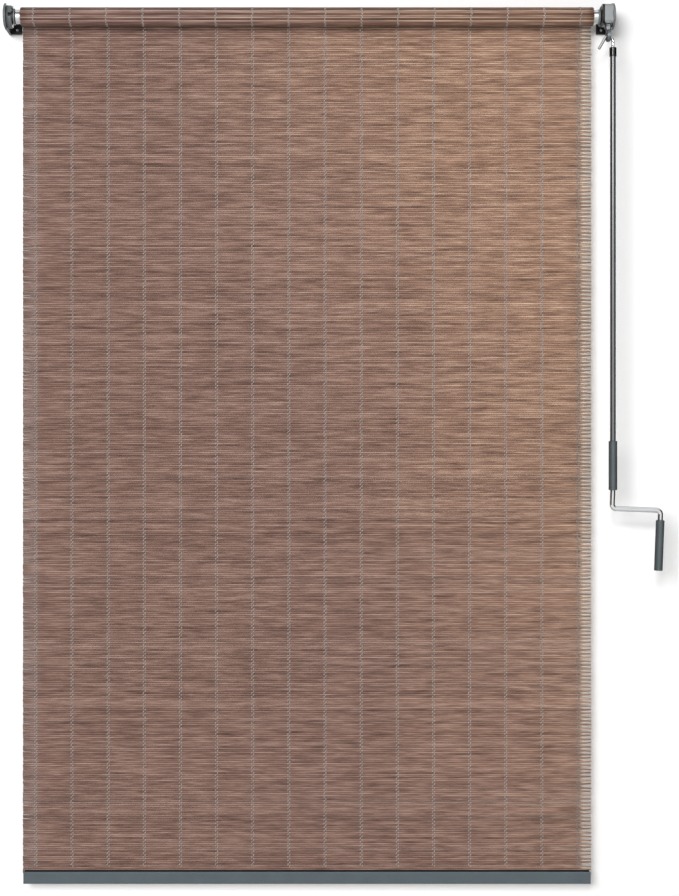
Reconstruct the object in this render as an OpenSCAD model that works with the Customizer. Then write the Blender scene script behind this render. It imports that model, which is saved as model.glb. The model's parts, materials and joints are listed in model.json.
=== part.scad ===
// Outdoor roller shade: a reed mat wound on a tube, turned by a hook-on crank through a worm gear.
// Frame: x along the roller, y towards the wall, z up. The wall is y = 0, the roller axis is z = 0,
// and x = 0 lies midway between the two wall brackets.

/* [Shade] */
// Width of the reed mat
mat_w = 1218; // [600:1:1800]
// Room from the mat's side edge to the bracket plate, at the idle end
idle_room = 31; // [22:0.5:80]
// Room from the mat's side edge to the bracket plate, at the gear end
drive_room = 41; // [33:0.5:90]
// Drop from the roller axis to the top of the bottom rail
drop = 1832; // [900:1:2400]
// Spacing of the reeds
reed_pitch = 4; // [3.5:0.1:8]
// Thickness of the mat over its reeds
mat_t = 2.2; // [1.6:0.1:3]
// Depth of the groove between two reeds, on each face
groove = 0.55; // [0.2:0.05:0.7]
// Number of warp lines, each a pair of threads
warps = 16; // [4:1:24]
// Distance from the mat's side edge to its outer warp line
warp_inset = 26; // [18:1:60]
// Width of one warp thread
thread_w = 1.5; // [0.8:0.1:3]
// Number of open gaps between the free reed ends, on each side edge
edge_gaps = 60; // [0:1:60]

/* [Roller] */
// Outer diameter of the roller tube
tube_d = 30; // [24:0.5:44]
// Wall of the roller tube
tube_wall = 1.2; // [0.8:0.1:2]
// Outer diameter of the mat left on the roller when the shade is down
roll_d = 42; // [36:0.5:60]

/* [Brackets] */
// Distance from the wall to the roller axis
stand_off = 46; // [46:0.5:80]
// Height of a bracket plate
bracket_h = 52; // [46:1:70]
// Thickness of the bracket steel
plate_t = 2.5; // [2:0.1:4]
// Width of the wall flange
flange_w = 24; // [20:0.5:32]
// Diameter of the wall screw holes
screw_d = 5.5; // [4:0.1:6.5]
// Height between the two screw holes of a bracket
screw_rise = 34; // [26:1:36]

/* [Gear] */
// Teeth on the worm wheel
wheel_teeth = 12; // [12:1:13]
// Starts of the worm
worm_starts = 2; // [1:1:2]
// Transverse module of the wheel
gear_m = 1.6; // [1.4:0.05:1.65]
// Pitch diameter of the worm
worm_d = 12; // [11.5:0.1:12.4]
// Forward tilt of the worm axis
gear_tilt = 12; // [10:0.5:14]
// Depth of the gear housing along the roller
housing_w = 18; // [17:0.5:20]

/* [Crank] */
// Diameter of the hook wire
wire_d = 6; // [5:0.1:6.5]
// Centre-line radius of the hook's bend
hook_r = 9.6; // [9.4:0.1:11]
// Outer diameter of the pole tube
pole_d = 12; // [10:0.1:14]
// Length of the pole between its cap and the upper grip
pole_len = 816; // [300:1:1500]
// Outer diameter of both grips
grip_d = 18; // [16:0.5:26]
// Length of the upper grip
grip_len = 104; // [60:1:160]
// Length of the handle grip
handle_len = 107; // [60:1:160]
// Throw of the crank, from the pole axis to the handle axis
crank_throw = 103; // [70:1:140]
// Cant of the bent crank rod
crank_cant = 2.2; // [0:0.1:4]

/* [Rail] */
// Height of the bottom rail
rail_h = 26; // [20:0.5:40]
// Depth of the bottom rail
rail_d = 13; // [12:0.5:20]
// Wall of the bottom rail
rail_wall = 1.5; // [1:0.1:2.5]

/* [Hidden] */
$fn = 48;
// running gap between moving pieces, and a close gap between seated ones
run = 0.3;
seat = 0.1;

// the brackets stand as far apart as the mat and the room beside it need
bracket_span = idle_room + mat_w + drive_room;
plate_x = bracket_span / 2;
plate_out = plate_x + plate_t;

// mat and roll
mat_x0 = -plate_x + idle_room;
mat_x1 = plate_x - drive_room;
roll_r = roll_d / 2;
tube_r = tube_d / 2;
lay = mat_t + 0.2;
mat_y = -stand_off + roll_r - mat_t / 2;
hem_depth = 7;
mat_top = -0.4;
mat_bottom = -drop - hem_depth;
reeds = floor((mat_top - mat_bottom) / reed_pitch);
reed_p = (mat_top - mat_bottom) / reeds;
thread_t = 0.5;
warp_pitch = (mat_w - 2 * warp_inset) / (warps - 1);
gap_reach = warp_inset - 8;

// roller ends: the tube runs from the idle hub's plug to the collar at the gear cover
hub_len = 11;
hub_x = -plate_x + hub_len;
collar_len = 4.3;
screw_head = 1.4;
cover_w = 4.4;
housing_x0 = plate_x - housing_w;
cover_in = housing_x0 - cover_w;
tube_x0 = hub_x + 7.5;
tube_x1 = cover_in - screw_head - run - collar_len - seat;
plug_r = tube_r - tube_wall - 0.15;
key_a = 161;
key_w = 2.8;
key_d = 3.2;
pin_r = 4;
bush_r = 7;

// brackets
front_c = -stand_off - 4;
cover_t = 3.2;
cover_lip = 2.2;
screw_x = plate_x - flange_w / 2 - 1;
// the idle hub is nearly as high as its bracket, and a hood on it reaches over the roller's end
hub_r = bracket_h / 2 - 2;
hub_ease = 3;
hood_len = 3.2;
notch_w = 8;

// gear
wheel_r = gear_m * wheel_teeth / 2;
worm_r = worm_d / 2;
tooth_p = PI * gear_m;
lead = tooth_p * worm_starts;
add_worm = 0.66 * gear_m;
add_wheel = 0.8 * gear_m;
tooth_gap = 0.3;
play = 0.36;
pressure = 20;
centre_dist = wheel_r + worm_r;
helix = atan(lead / (PI * worm_d));
wheel_w = 8;
worm_x = housing_x0 + 7.5;
worm_y = -stand_off - centre_dist * cos(gear_tilt);
worm_z = centre_dist * sin(gear_tilt);
thread_lo = -10.5;
thread_hi = 9;
journal_r = 4;
bearing_r = 6.5;
bearing_hi = 13;
box_top = 21.5;
box_bottom = -19.5;
box_back = -stand_off + 15;
box_front = worm_y - worm_r - 8.5;
shaft_r = 5;
square_w = 8;

// eye and hook, measured along the worm axis from the pitch point
eye_top = -(worm_z - box_bottom + 3.2) / cos(gear_tilt);
eye_bar = 7;
hang = 0.5;
hook_in = hook_r - wire_d / 2;
// the ring is as wide as the inside of the hook's bend allows
eye_w = eye_bar + 2 * sqrt(pow(hook_in - 0.24 - eye_bar / 2, 2) - pow(hook_in - hang - eye_bar / 2, 2));
eye_hole = 12;
hook_s = eye_top - 27.3;
eye_end = hook_s - wire_d / 2 - hang - eye_bar;
hook_y = worm_y + hook_s * sin(gear_tilt);
hook_z = worm_z + hook_s * cos(gear_tilt);
leg_a = 30;
leg_len = 24;

// crank pole, measured from the hook's apex
pole_x = worm_x + hook_r;
cap_top = hook_z - hook_r - 13;
cap_len = 19;
cap_d = 15;
cap_bottom = cap_top - cap_len;
grip_top = cap_bottom - pole_len;
grip_bottom = grip_top - grip_len;
pole_end = grip_bottom + 6;
pole_wall = 1;
rod_d = 10.6;
bend_r = 9;
stub_len = 30;
stub2_len = 20;
grip_bore = pole_d / 2 + 0.25;

// bottom rail
wedge_t = 1.8;
slot_w = mat_t + wedge_t + 0.6;
slot_d = 10;
rail_y = mat_y - (wedge_t + 0.2) / 2;
rail_cap_t = 2;
rail_x0 = mat_x0 + rail_cap_t;
rail_len = mat_w - 2 * rail_cap_t;

// an outline drawn in (y, z), extruded along x
module along_x(x, len) {
    translate([x, 0, 0])
        rotate([90, 0, 90])
            linear_extrude(len)
                children();
}

module cyl_x(x, len, r) {
    translate([x, -stand_off, 0])
        rotate([0, 90, 0])
            cylinder(h = len, r = r);
}

module rounded(w, h, r) {
    square([w - 2 * r, h], center = true);
    square([w, h - 2 * r], center = true);
    for (i = [-1, 1])
        for (j = [-1, 1])
            translate([i * (w / 2 - r), j * (h / 2 - r)])
                circle(r);
}

// SHADE

// radius of the mat's outer face after winding in from its free end by the angle a
function wind_r(a) = roll_r - lay * a / 360;
// angle reached after winding in an arc length s
function wind_a(s) = (roll_r - sqrt(roll_r * roll_r - lay * s / PI)) * 360 / lay;
wound = PI * (roll_r * roll_r - pow(tube_r + mat_t + 0.3, 2)) / lay;
wound_reeds = floor(wound / reed_p);

function polar(r, a) = [r * cos(a), r * sin(a)];

// three points across each reed: the groove, then the two edges of the crown
module spiral_mat() {
    steps = [for (k = [0 : wound_reeds - 1]) for (f = [0, 0.28, 0.72]) [k, f]];
    outer = [for (s = steps)
        let (a = wind_a((s[0] + s[1]) * reed_p))
        polar(wind_r(a) - (s[1] == 0 ? groove : 0), -a - 0.6)];
    inner = [for (i = [len(steps) - 1 : -1 : 0])
        let (a = wind_a((steps[i][0] + steps[i][1]) * reed_p))
        polar(wind_r(a) - mat_t + (steps[i][1] == 0 ? groove : 0), -a - 0.6)];
    mirror([0, 1])
        polygon(concat(outer, inner));
}

module shade_roll() color("#846659") {
    translate([0, -stand_off, 0])
        along_x(mat_x0, mat_w)
            spiral_mat();
}

module panel_outline() {
    front = [for (i = [0 : reeds - 1]) for (f = [0, 0.28, 0.72])
        [mat_y - mat_t / 2 + (f == 0 ? groove : 0), mat_top - (i + f) * reed_p]];
    back = [for (i = [reeds - 1 : -1 : 0]) for (f = [0.72, 0.28, 0])
        [mat_y + mat_t / 2 - (f == 0 ? groove : 0), mat_top - (i + f) * reed_p]];
    foot = [[mat_y - mat_t / 2 + groove, mat_bottom], [mat_y + mat_t / 2 - groove, mat_bottom]];
    polygon(concat(front, foot, back));
}

module shade_panel() color("#8d7164") {
    difference() {
        along_x(mat_x0, mat_w)
            panel_outline();
        if (edge_gaps > 0)
            for (k = [1 : edge_gaps])
                let (row = floor(k * (reeds - 4) / (edge_gaps + 1)))
                for (x = [mat_x0 - 1, mat_x1 - gap_reach])
                    translate([x, mat_y - mat_t, mat_top - row * reed_p - 0.5])
                        cube([gap_reach + 1, 2 * mat_t, 1]);
    }
}

// each warp line is a pair of threads on both faces, lying on the crowns of the reeds;
// in front they start below the curve of the roll
module panel_threads() color("#b5a79b") {
    front_top = -sqrt(2 * (roll_r - mat_t) * (thread_t + run)) - 0.5;
    for (k = [0 : warps - 1])
        for (side = [-1, 1])
            for (lean = [-1, 1])
                translate([
                    mat_x0 + warp_inset + k * warp_pitch + lean * 1.1 * thread_w - thread_w / 2,
                    side < 0 ? mat_y - mat_t / 2 - thread_t : mat_y + mat_t / 2,
                    -drop + 5
                ])
                    cube([thread_w, thread_t, drop - 5 + (side < 0 ? front_top : mat_top)]);
}

// ROLLER

module tube_section() {
    difference() {
        union() {
            difference() {
                circle(tube_r);
                circle(tube_r - tube_wall);
            }
            intersection() {
                circle(tube_r - tube_wall / 2);
                rotate(key_a)
                    translate([tube_r - key_d - tube_wall, -key_w / 2 - tube_wall])
                        square([key_d + tube_wall, key_w + 2 * tube_wall]);
            }
        }
        rotate(key_a)
            translate([tube_r - key_d, -key_w / 2])
                square([key_d + 1, key_w]);
    }
}

module roller_tube() color("#c9cccd") {
    translate([0, -stand_off, 0])
        along_x(tube_x0, tube_x1 - tube_x0)
            tube_section();
}

// plug body that clears the tube's inward key channel
module plug_body(x, len) {
    translate([0, -stand_off, 0])
        along_x(x, len)
            difference() {
                circle(plug_r);
                rotate(key_a)
                    translate([tube_r - key_d - tube_wall - 0.3, -key_w / 2 - tube_wall - 0.2])
                        square([key_d + 3, key_w + 2 * tube_wall + 0.4]);
            }
}

module idle_plug() color("#8e9192") {
    difference() {
        union() {
            plug_body(tube_x0 - 0.5, 42);
            cyl_x(tube_x0 - 2.5, 2.4, tube_r - 3);
            cyl_x(tube_x0 - 4.7, 2.6, tube_r + 1.2);
            cyl_x(hub_x + 1.2 + run, tube_x0 - 4.5 - hub_x - 1.2 - run, tube_r - 4);
        }
        cyl_x(hub_x, 60, pin_r + 0.02);
    }
}

module idle_pin() color("#b9bcbe") {
    cyl_x(-plate_x + 2, tube_x0 + 30 + plate_x - 2, pin_r);
}

module drive_plug() color("#a4a7a8") {
    difference() {
        union() {
            plug_body(tube_x1 - 44.5, 45);
            cyl_x(tube_x1 + seat, collar_len, tube_r + 0.4);
        }
        translate([tube_x1 - 50, -stand_off - square_w / 2 - seat, -square_w / 2 - seat])
            cube([60, square_w + 2 * seat, square_w + 2 * seat]);
    }
}

// square drive end, then the round seat of the wheel and the outer journal
module drive_shaft() color("#9fa3a5") {
    translate([tube_x1 - 40, -stand_off - square_w / 2, -square_w / 2])
        cube([cover_in - 0.5 - tube_x1 + 40, square_w, square_w]);
    cyl_x(cover_in - 0.5, plate_x - 5.5 - cover_in + 0.5, shaft_r + 1);
    cyl_x(plate_x - 5.5, 4.5, pin_r);
}

// GEAR

function inv_deg(r, rb) = r <= rb ? 0 : sqrt(r * r / (rb * rb) - 1) * 180 / PI - acos(rb / r);

module wheel_section() {
    rb = wheel_r * cos(pressure);
    tip = wheel_r + add_wheel;
    root = wheel_r - add_worm - tooth_gap;
    half = 90 / wheel_teeth - play / 2 / wheel_r * 180 / PI;
    rs = [root, rb + 0.05, wheel_r, (wheel_r + tip) / 2, tip];
    function flank(r) = half + inv_deg(wheel_r, rb) - inv_deg(r, rb);
    polygon([for (t = [0 : wheel_teeth - 1]) let (c = t * 360 / wheel_teeth)
        each concat(
            [for (r = rs) polar(r, c - flank(r))],
            [for (i = [len(rs) - 1 : -1 : 0]) polar(rs[i], c + flank(rs[i]))]
        )]);
}

// helical teeth lean with the worm's lead, so the twist follows from the lead angle
module worm_wheel() color("#d8d2c0") {
    twist = wheel_w * tan(helix) / wheel_r * 180 / PI;
    gap_at = 180 - gear_tilt - 180 / wheel_teeth;
    difference() {
        translate([worm_x - wheel_w / 2, -stand_off, 0])
            rotate([90, 0, 90])
                rotate(gap_at - twist / 2)
                    linear_extrude(wheel_w, twist = -twist, slices = 4)
                        wheel_section();
        cyl_x(worm_x - wheel_w, 2 * wheel_w, shaft_r + 1.02);
    }
}

// straight-sided rack teeth seen in a cut across the axis
module worm_section() {
    tip = worm_r + add_worm;
    root = worm_r - add_wheel - tooth_gap;
    s_pitch = tooth_p / 2 - play / 2;
    function spread(r) = (s_pitch / 2 + (worm_r - r) * tan(pressure)) * 360 / lead;
    rs = [root, worm_r, tip];
    polygon([for (t = [0 : worm_starts - 1]) let (c = t * 360 / worm_starts, w = spread(tip), v = spread(root))
        each concat(
            [for (r = rs) polar(r, c - spread(r))],
            [for (f = [-0.33, 0.33]) polar(tip, c + f * w)],
            [for (i = [len(rs) - 1 : -1 : 0]) polar(rs[i], c + spread(rs[i]))],
            [for (f = [0.33, 0.67]) polar(root, c + v + f * (360 / worm_starts - 2 * v))]
        )]);
}

// the worm's own frame: z up its axis, the wheel on its +y side
module on_worm_axis() {
    translate([worm_x, worm_y, worm_z])
        rotate([-gear_tilt, 0, 0])
            children();
}

module worm() color("#a7abad") {
    turn = 360 * (thread_hi - thread_lo) / lead;
    on_worm_axis() {
        translate([0, 0, thread_lo])
            rotate(90 + 360 * thread_lo / lead)
                linear_extrude(thread_hi - thread_lo, twist = -turn, slices = ceil(turn / 15))
                    worm_section();
        translate([0, 0, thread_hi - 0.5])
            cylinder(h = bearing_hi - thread_hi + 0.5, r = journal_r);
        difference() {
            translate([0, 0, eye_top - 12.8])
                cylinder(h = thread_lo - eye_top + 12.8 + 0.5, r = journal_r);
            eye_pin_bore(1.5);
        }
    }
}

module eye_pin_bore(r) {
    translate([-12, 0, eye_top - 7])
        rotate([0, 90, 0])
            cylinder(h = 24, r = r);
}

module box_outline() {
    translate([(box_back + box_front) / 2, (box_top + box_bottom) / 2])
        rounded(box_back - box_front, box_top - box_bottom, 7);
}

// a bearing pocket that opens towards the cover, so the worm can be laid in
module pocket(r, lo, hi) {
    translate([0, 0, lo])
        linear_extrude(hi - lo) {
            circle(r);
            translate([-20, -r + 0.02])
                square([20, 2 * r - 0.04]);
        }
}

module gear_housing() color("#9b9d9e") {
    difference() {
        union() {
            along_x(housing_x0, housing_w)
                box_outline();
            intersection() {
                on_worm_axis()
                    translate([0, 0, eye_top + 1])
                        cylinder(h = 20, r = 8.6);
                translate([housing_x0, 2 * box_front, 2 * box_bottom])
                    cube([housing_w, -2 * box_front, -2 * box_bottom]);
            }
        }
        cyl_x(housing_x0 - 1, housing_w - 2.5, wheel_r + add_wheel + 1);
        cyl_x(housing_x0 - 1, housing_w + 2, pin_r + 1.52);
        on_worm_axis() {
            pocket(worm_r + add_worm + 0.9, thread_lo - 0.5, thread_hi + 0.5);
            pocket(bearing_r + 0.02, thread_hi, bearing_hi + 0.5);
            pocket(bearing_r + 0.02, eye_top, thread_lo);
        }
        cover_screw_holes(1.5, 10);
        plate_screw_holes(housing_x0 + housing_w - 5, 1.5, 6);
    }
}

module screw_places() {
    for (p = [[box_back - 5, box_top - 5], [box_back - 5, box_bottom + 5], [box_front + 5, box_top - 5]])
        translate([0, p[0], p[1]])
            children();
}

module cover_screw_holes(r, len) {
    screw_places()
        translate([cover_in - 1, 0, 0])
            rotate([0, 90, 0])
                cylinder(h = len + 5.4, r = r);
}

module gear_cover() color("#1f2122") {
    difference() {
        along_x(cover_in, housing_x0 - cover_in)
            box_outline();
        cyl_x(cover_in - 1, 10, shaft_r + 1 + run);
        cover_screw_holes(1.6, 10);
    }
}

module gear_cover_screws() color("#8d9193") {
    screw_places() {
        translate([cover_in - screw_head, 0, 0])
            rotate([0, 90, 0])
                cylinder(h = screw_head, r = 2.4);
        translate([cover_in, 0, 0])
            rotate([0, 90, 0])
                cylinder(h = 12, r = 1.4);
    }
}

module wheel_bush() color("#e2ddd0") {
    difference() {
        union() {
            cyl_x(plate_x - 5.2, 1.4, pin_r + 3);
            cyl_x(plate_x - 4, 3.4, pin_r + 1.5);
        }
        cyl_x(plate_x - 8, 10, pin_r + 0.1);
    }
}

module worm_bush(lo, hi) {
    on_worm_axis()
        difference() {
            translate([0, 0, lo])
                cylinder(h = hi - lo, r = bearing_r);
            translate([0, 0, lo - 1])
                cylinder(h = hi - lo + 2, r = journal_r + 0.1);
        }
}

module worm_bush_top() color("#c69b52") {
    worm_bush(thread_hi + 0.2, bearing_hi);
}

module worm_bush_low() color("#c69b52") {
    worm_bush(eye_top + 4, thread_lo - 0.2);
}

// BRACKETS

module plate_outline(grow) {
    translate([front_c, 0])
        circle(bracket_h / 2 + grow);
    translate([front_c, -bracket_h / 2 - grow])
        square([-front_c, bracket_h + 2 * grow]);
}

// folded from one strip: side plate, bend, wall flange
module fold_section() {
    r = 2;
    translate([plate_x, -200])
        square([plate_t, 200 - plate_t - r]);
    translate([plate_x - flange_w, -plate_t])
        square([flange_w - r, plate_t]);
    translate([plate_x - r, -plate_t - r])
        intersection() {
            difference() {
                circle(r + plate_t);
                circle(r);
            }
            square(20);
        }
}

module bracket() {
    difference() {
        intersection() {
            translate([0, 0, -bracket_h / 2])
                linear_extrude(bracket_h)
                    fold_section();
            along_x(plate_x - flange_w - 1, flange_w + plate_t + 2)
                plate_outline(0);
        }
        for (z = [-1, 1])
            translate([screw_x, 1, z * screw_rise / 2])
                rotate([90, 0, 0])
                    cylinder(h = plate_t + 2, r = screw_d / 2);
    }
}

// moulded outer cover with a stepped face and a lip over the plate's edge
module cover() {
    lip_w = 1.4;
    difference() {
        union() {
            along_x(plate_out - cover_lip, cover_lip + cover_t - 1.3)
                intersection() {
                    plate_outline(lip_w);
                    translate([-200, -100])
                        square([199, 200]);
                }
            along_x(plate_out + cover_t - 1.4, 1.4)
                intersection() {
                    plate_outline(-2.2);
                    translate([-200, -100])
                        square([195, 200]);
                }
        }
        along_x(plate_out - cover_lip - 1, cover_lip + 1)
            plate_outline(seat);
        along_x(plate_out - 0.5, 2.4)
            intersection() {
                plate_outline(-5);
                translate([-200, -100])
                    square([192, 200]);
            }
    }
}

module idle_bracket() color("#6d7072") {
    mirror([1, 0, 0])
        difference() {
            bracket();
            hub_screw_holes(plate_x - 1, 1.7, plate_t + 2);
        }
}

module hub_screw_holes(x, r, len) {
    for (s = [-1, 1])
        translate([x, -stand_off + s * 10.5, s * 10.5])
            rotate([0, 90, 0])
                cylinder(h = len, r = r);
}

// a moulded body with an eased rim
module hub_body() {
    translate([plate_x, -stand_off, 0])
        rotate([0, -90, 0])
            rotate_extrude() {
                square([hub_r - hub_ease, hub_len]);
                square([hub_r, hub_len - hub_ease]);
                translate([hub_r - hub_ease, hub_len - hub_ease])
                    circle(hub_ease);
            }
}

module hub_hood() {
    translate([0, -stand_off, 0])
        along_x(plate_x - hub_len - hood_len, hood_len + 1)
            intersection() {
                difference() {
                    circle(hub_r - 2);
                    circle(tube_r + 3);
                }
                polygon([[0, 0], [-2 * hub_r, 2 * hub_r], [2 * hub_r, 2 * hub_r]]);
            }
}

// the notch in front takes the tool that frees the roller's pin
module idle_hub() color("#747a79") {
    mirror([1, 0, 0])
        difference() {
            union() {
                hub_body();
                hub_hood();
            }
            cyl_x(plate_x - hub_len - 1, hub_len + 3, bush_r + 0.02);
            translate([plate_x - hub_len - 1, -stand_off - hub_r - 1, -notch_w / 2])
                cube([notch_w, hub_r - bush_r - 5, notch_w]);
            hub_screw_holes(plate_x - 4, 1.5, 5);
        }
}

module idle_bush() color("#e2ddd0") {
    mirror([1, 0, 0])
        difference() {
            union() {
                cyl_x(plate_x - hub_len - 1.2, 1.2, bush_r + 2);
                cyl_x(plate_x - hub_len - 0.5, hub_len + 0.3, bush_r);
            }
            cyl_x(plate_x - hub_len - 2, hub_len + 3, pin_r + 0.1);
        }
}

module plate_screws(len) {
    translate([plate_out, 0, 0])
        rotate([0, 90, 0])
            cylinder(h = 1.5, r = 2.6);
    translate([plate_out - len, 0, 0])
        rotate([0, 90, 0])
            cylinder(h = len, r = 1.4);
}

module idle_hub_screws() color("#8d9193") {
    mirror([1, 0, 0])
        for (s = [-1, 1])
            translate([0, -stand_off + s * 10.5, s * 10.5])
                plate_screws(6);
}

module idle_cover() color("#7d8081") {
    mirror([1, 0, 0])
        cover();
}

module drive_bracket() color("#6d7072") {
    difference() {
        bracket();
        plate_screw_holes(plate_x - 1, 1.6, plate_t + 2);
    }
}

module plate_screw_places() {
    for (p = [[-stand_off + 2, 15.5], [-stand_off + 2, -15.2]])
        translate([0, p[0], p[1]])
            children();
}

module plate_screw_holes(x, r, len) {
    plate_screw_places()
        translate([x, 0, 0])
            rotate([0, 90, 0])
                cylinder(h = len, r = r);
}

module drive_bracket_screws() color("#8d9193") {
    plate_screw_places()
        plate_screws(7);
}

module drive_cover() color("#7d8081") {
    cover();
}

// CRANK

// round-edged bar section, eye_w wide along the hook wire
module eye_section() {
    r = eye_bar / 2;
    square([eye_bar, eye_w - 2 * r], center = true);
    for (s = [-1, 1])
        translate([0, s * (eye_w / 2 - r)])
            circle(r);
}

// a forged ring below a tapered collar that is pinned to the worm's shaft
module crank_eye() color("#9a9c9d") {
    ring_r = eye_hole / 2 + eye_bar / 2;
    on_worm_axis()
        difference() {
            union() {
                translate([0, 0, eye_top - 6.4])
                    cylinder(h = 6, r = 7);
                translate([0, 0, eye_top - 14.4])
                    cylinder(h = 8, r1 = eye_w / 2, r2 = 7);
                translate([0, 0, eye_end + eye_bar + eye_hole / 2])
                    rotate([0, 90, 0])
                        rotate_extrude()
                            translate([ring_r, 0])
                                eye_section();
            }
            translate([0, 0, eye_top - 13.4])
                cylinder(h = 15, r = journal_r + 0.05);
            eye_pin_bore(1.5);
        }
}

module eye_pin() color("#b9bcbe") {
    on_worm_axis()
        translate([-7.4, 0, eye_top - 7])
            rotate([0, 90, 0])
                cylinder(h = 14.8, r = 1.46);
}

// one bent wire: shank in the pole, bend over the eye, free leg
module crank_hook() color("#c4c8ca") {
    translate([worm_x, hook_y, hook_z - hook_r]) {
        rotate([90, 0, 0])
            rotate_extrude(angle = 180 - leg_a)
                translate([hook_r, 0])
                    circle(wire_d / 2);
        rotate([0, -(180 - leg_a), 0])
            translate([hook_r, 0, -0.5])
                cylinder(h = leg_len + 0.5, r = wire_d / 2 - 0.05);
        translate([hook_r, 0, -13 - cap_len - 10])
            cylinder(h = 13 + cap_len + 10, r = wire_d / 2);
    }
}

module at_pole(z) {
    translate([pole_x, hook_y, z])
        children();
}

module pole_cap() color("#121314") {
    at_pole(cap_bottom)
        rotate_extrude()
            difference() {
                union() {
                    square([cap_d / 2, cap_len - 1.5]);
                    square([cap_d / 2 - 1.5, cap_len]);
                    translate([cap_d / 2 - 1.5, cap_len - 1.5])
                        circle(1.5);
                }
                translate([-20, -5])
                    square([20, cap_len + 10]);
                translate([-1, -1])
                    square([wire_d / 2 + 0.03 + 1, cap_len + 3]);
                translate([-1, -1])
                    square([pole_d / 2 + 0.03 + 1, cap_len - 4 + 1]);
            }
}

module crank_pole() color("#85888a") {
    at_pole(pole_end)
        difference() {
            cylinder(h = cap_bottom + cap_len - 4.1 - pole_end, r = pole_d / 2);
            translate([0, 0, -1])
                cylinder(h = cap_bottom + cap_len - pole_end + 2, r = pole_d / 2 - pole_wall);
        }
}

// the bent rod's own frame: origin at the pole's end, canted a little
module on_rod() {
    at_pole(pole_end)
        rotate([0, crank_cant, 0])
            children();
}

module crank_rod() color("#c9cdcf") {
    r = rod_d / 2;
    low = -6 - stub_len;
    at_pole(pole_end - 0.5)
        cylinder(h = 45.5, r = pole_d / 2 - pole_wall - 0.05);
    on_rod() {
        translate([0, 0, low])
            cylinder(h = -low - 0.2, r = r);
        translate([bend_r, 0, low])
            rotate([90, 0, 0])
                rotate(180)
                    rotate_extrude(angle = 90)
                        translate([bend_r, 0])
                            circle(r);
        translate([bend_r, 0, low - bend_r])
            rotate([0, 90, 0])
                cylinder(h = crank_throw - 2 * bend_r, r = r);
        translate([crank_throw - bend_r, 0, low - 2 * bend_r])
            rotate([90, 0, 0])
                rotate_extrude(angle = 90)
                    translate([bend_r, 0])
                        circle(r);
        translate([crank_throw, 0, handle_bottom + 6])
            cylinder(h = low - 2 * bend_r - handle_bottom - 6, r = r);
    }
}

handle_top = -6 - stub_len - 2 * bend_r - stub2_len + 8;
handle_bottom = handle_top - handle_len;

// a moulded sleeve with eased ends
module sleeve(d, len, bore) {
    e = 1.2;
    rotate_extrude()
        difference() {
            union() {
                square([d / 2 - e, len]);
                translate([0, e])
                    square([d / 2, len - 2 * e]);
                for (z = [e, len - e])
                    translate([d / 2 - e, z])
                        circle(e);
            }
            translate([-20, -5])
                square([20 + bore, len + 10]);
        }
}

module upper_grip() color("#575d5f") {
    at_pole(grip_bottom)
        sleeve(grip_d, grip_len, grip_bore);
}

// the handle turns on the rod and is closed at its foot
module handle_grip() color("#575d5f") {
    on_rod()
        translate([crank_throw, 0, handle_bottom]) {
            difference() {
                sleeve(grip_d, handle_len, rod_d / 2 + 0.25);
                translate([0, 0, -1])
                    cylinder(h = 5, r = rod_d / 2 + 1.2);
            }
        }
}

module handle_stop() color("#b9bcbe") {
    on_rod()
        translate([crank_throw, 0, handle_bottom + 1])
            cylinder(h = 2.7, r = rod_d / 2 + 0.9);
    on_rod()
        translate([crank_throw, 0, handle_bottom + 3])
            cylinder(h = 3, r = rod_d / 2 - 0.6);
}

// RAIL

module rail_outline() {
    translate([rail_y, -drop - rail_h / 2])
        rounded(rail_d, rail_h, 2.6);
}

module rail_chamber(gap) {
    top = -drop - slot_d - rail_wall;
    low = -drop - rail_h + rail_wall;
    translate([rail_y, (top + low) / 2])
        rounded(rail_d - 2 * rail_wall - 2 * gap, top - low - 2 * gap, 1.4);
}

module bottom_rail() color("#5c666a") {
    along_x(rail_x0, rail_len)
        difference() {
            rail_outline();
            rail_chamber(0);
            rail_slot();
        }
}

// black strip that wedges the mat's hem in the rail's slot
module hem_wedge() color("#423d3b") {
    along_x(rail_x0 + 0.5, rail_len - 1)
        translate([rail_y - slot_w / 2 + 0.1, -drop - slot_d + 0.2])
            square([wedge_t, slot_d + 3]);
}

module rail_slot() {
    translate([rail_y - slot_w / 2, -drop - slot_d])
        square([slot_w, slot_d + 1]);
}

module rail_cap() {
    along_x(rail_x0 - rail_cap_t, rail_cap_t)
        difference() {
            rail_outline();
            rail_slot();
        }
    along_x(rail_x0 - 0.1, 9)
        rail_chamber(0.15);
}

module rail_cap_left() color("#4c5558") {
    rail_cap();
}

module rail_cap_right() color("#4c5558") {
    translate([mat_x0 + mat_x1, 0, 0])
        mirror([1, 0, 0])
            rail_cap();
}

shade_roll();
shade_panel();
panel_threads();
roller_tube();
idle_plug();
idle_pin();
drive_plug();
drive_shaft();
worm_wheel();
idle_bracket();
idle_hub();
idle_bush();
idle_hub_screws();
idle_cover();
drive_bracket();
drive_bracket_screws();
drive_cover();
gear_housing();
gear_cover();
gear_cover_screws();
wheel_bush();
worm_bush_top();
worm_bush_low();
worm();
crank_eye();
eye_pin();
crank_hook();
pole_cap();
crank_pole();
crank_rod();
upper_grip();
handle_grip();
handle_stop();
bottom_rail();
hem_wedge();
rail_cap_left();
rail_cap_right();
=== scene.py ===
import json
import math

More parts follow.
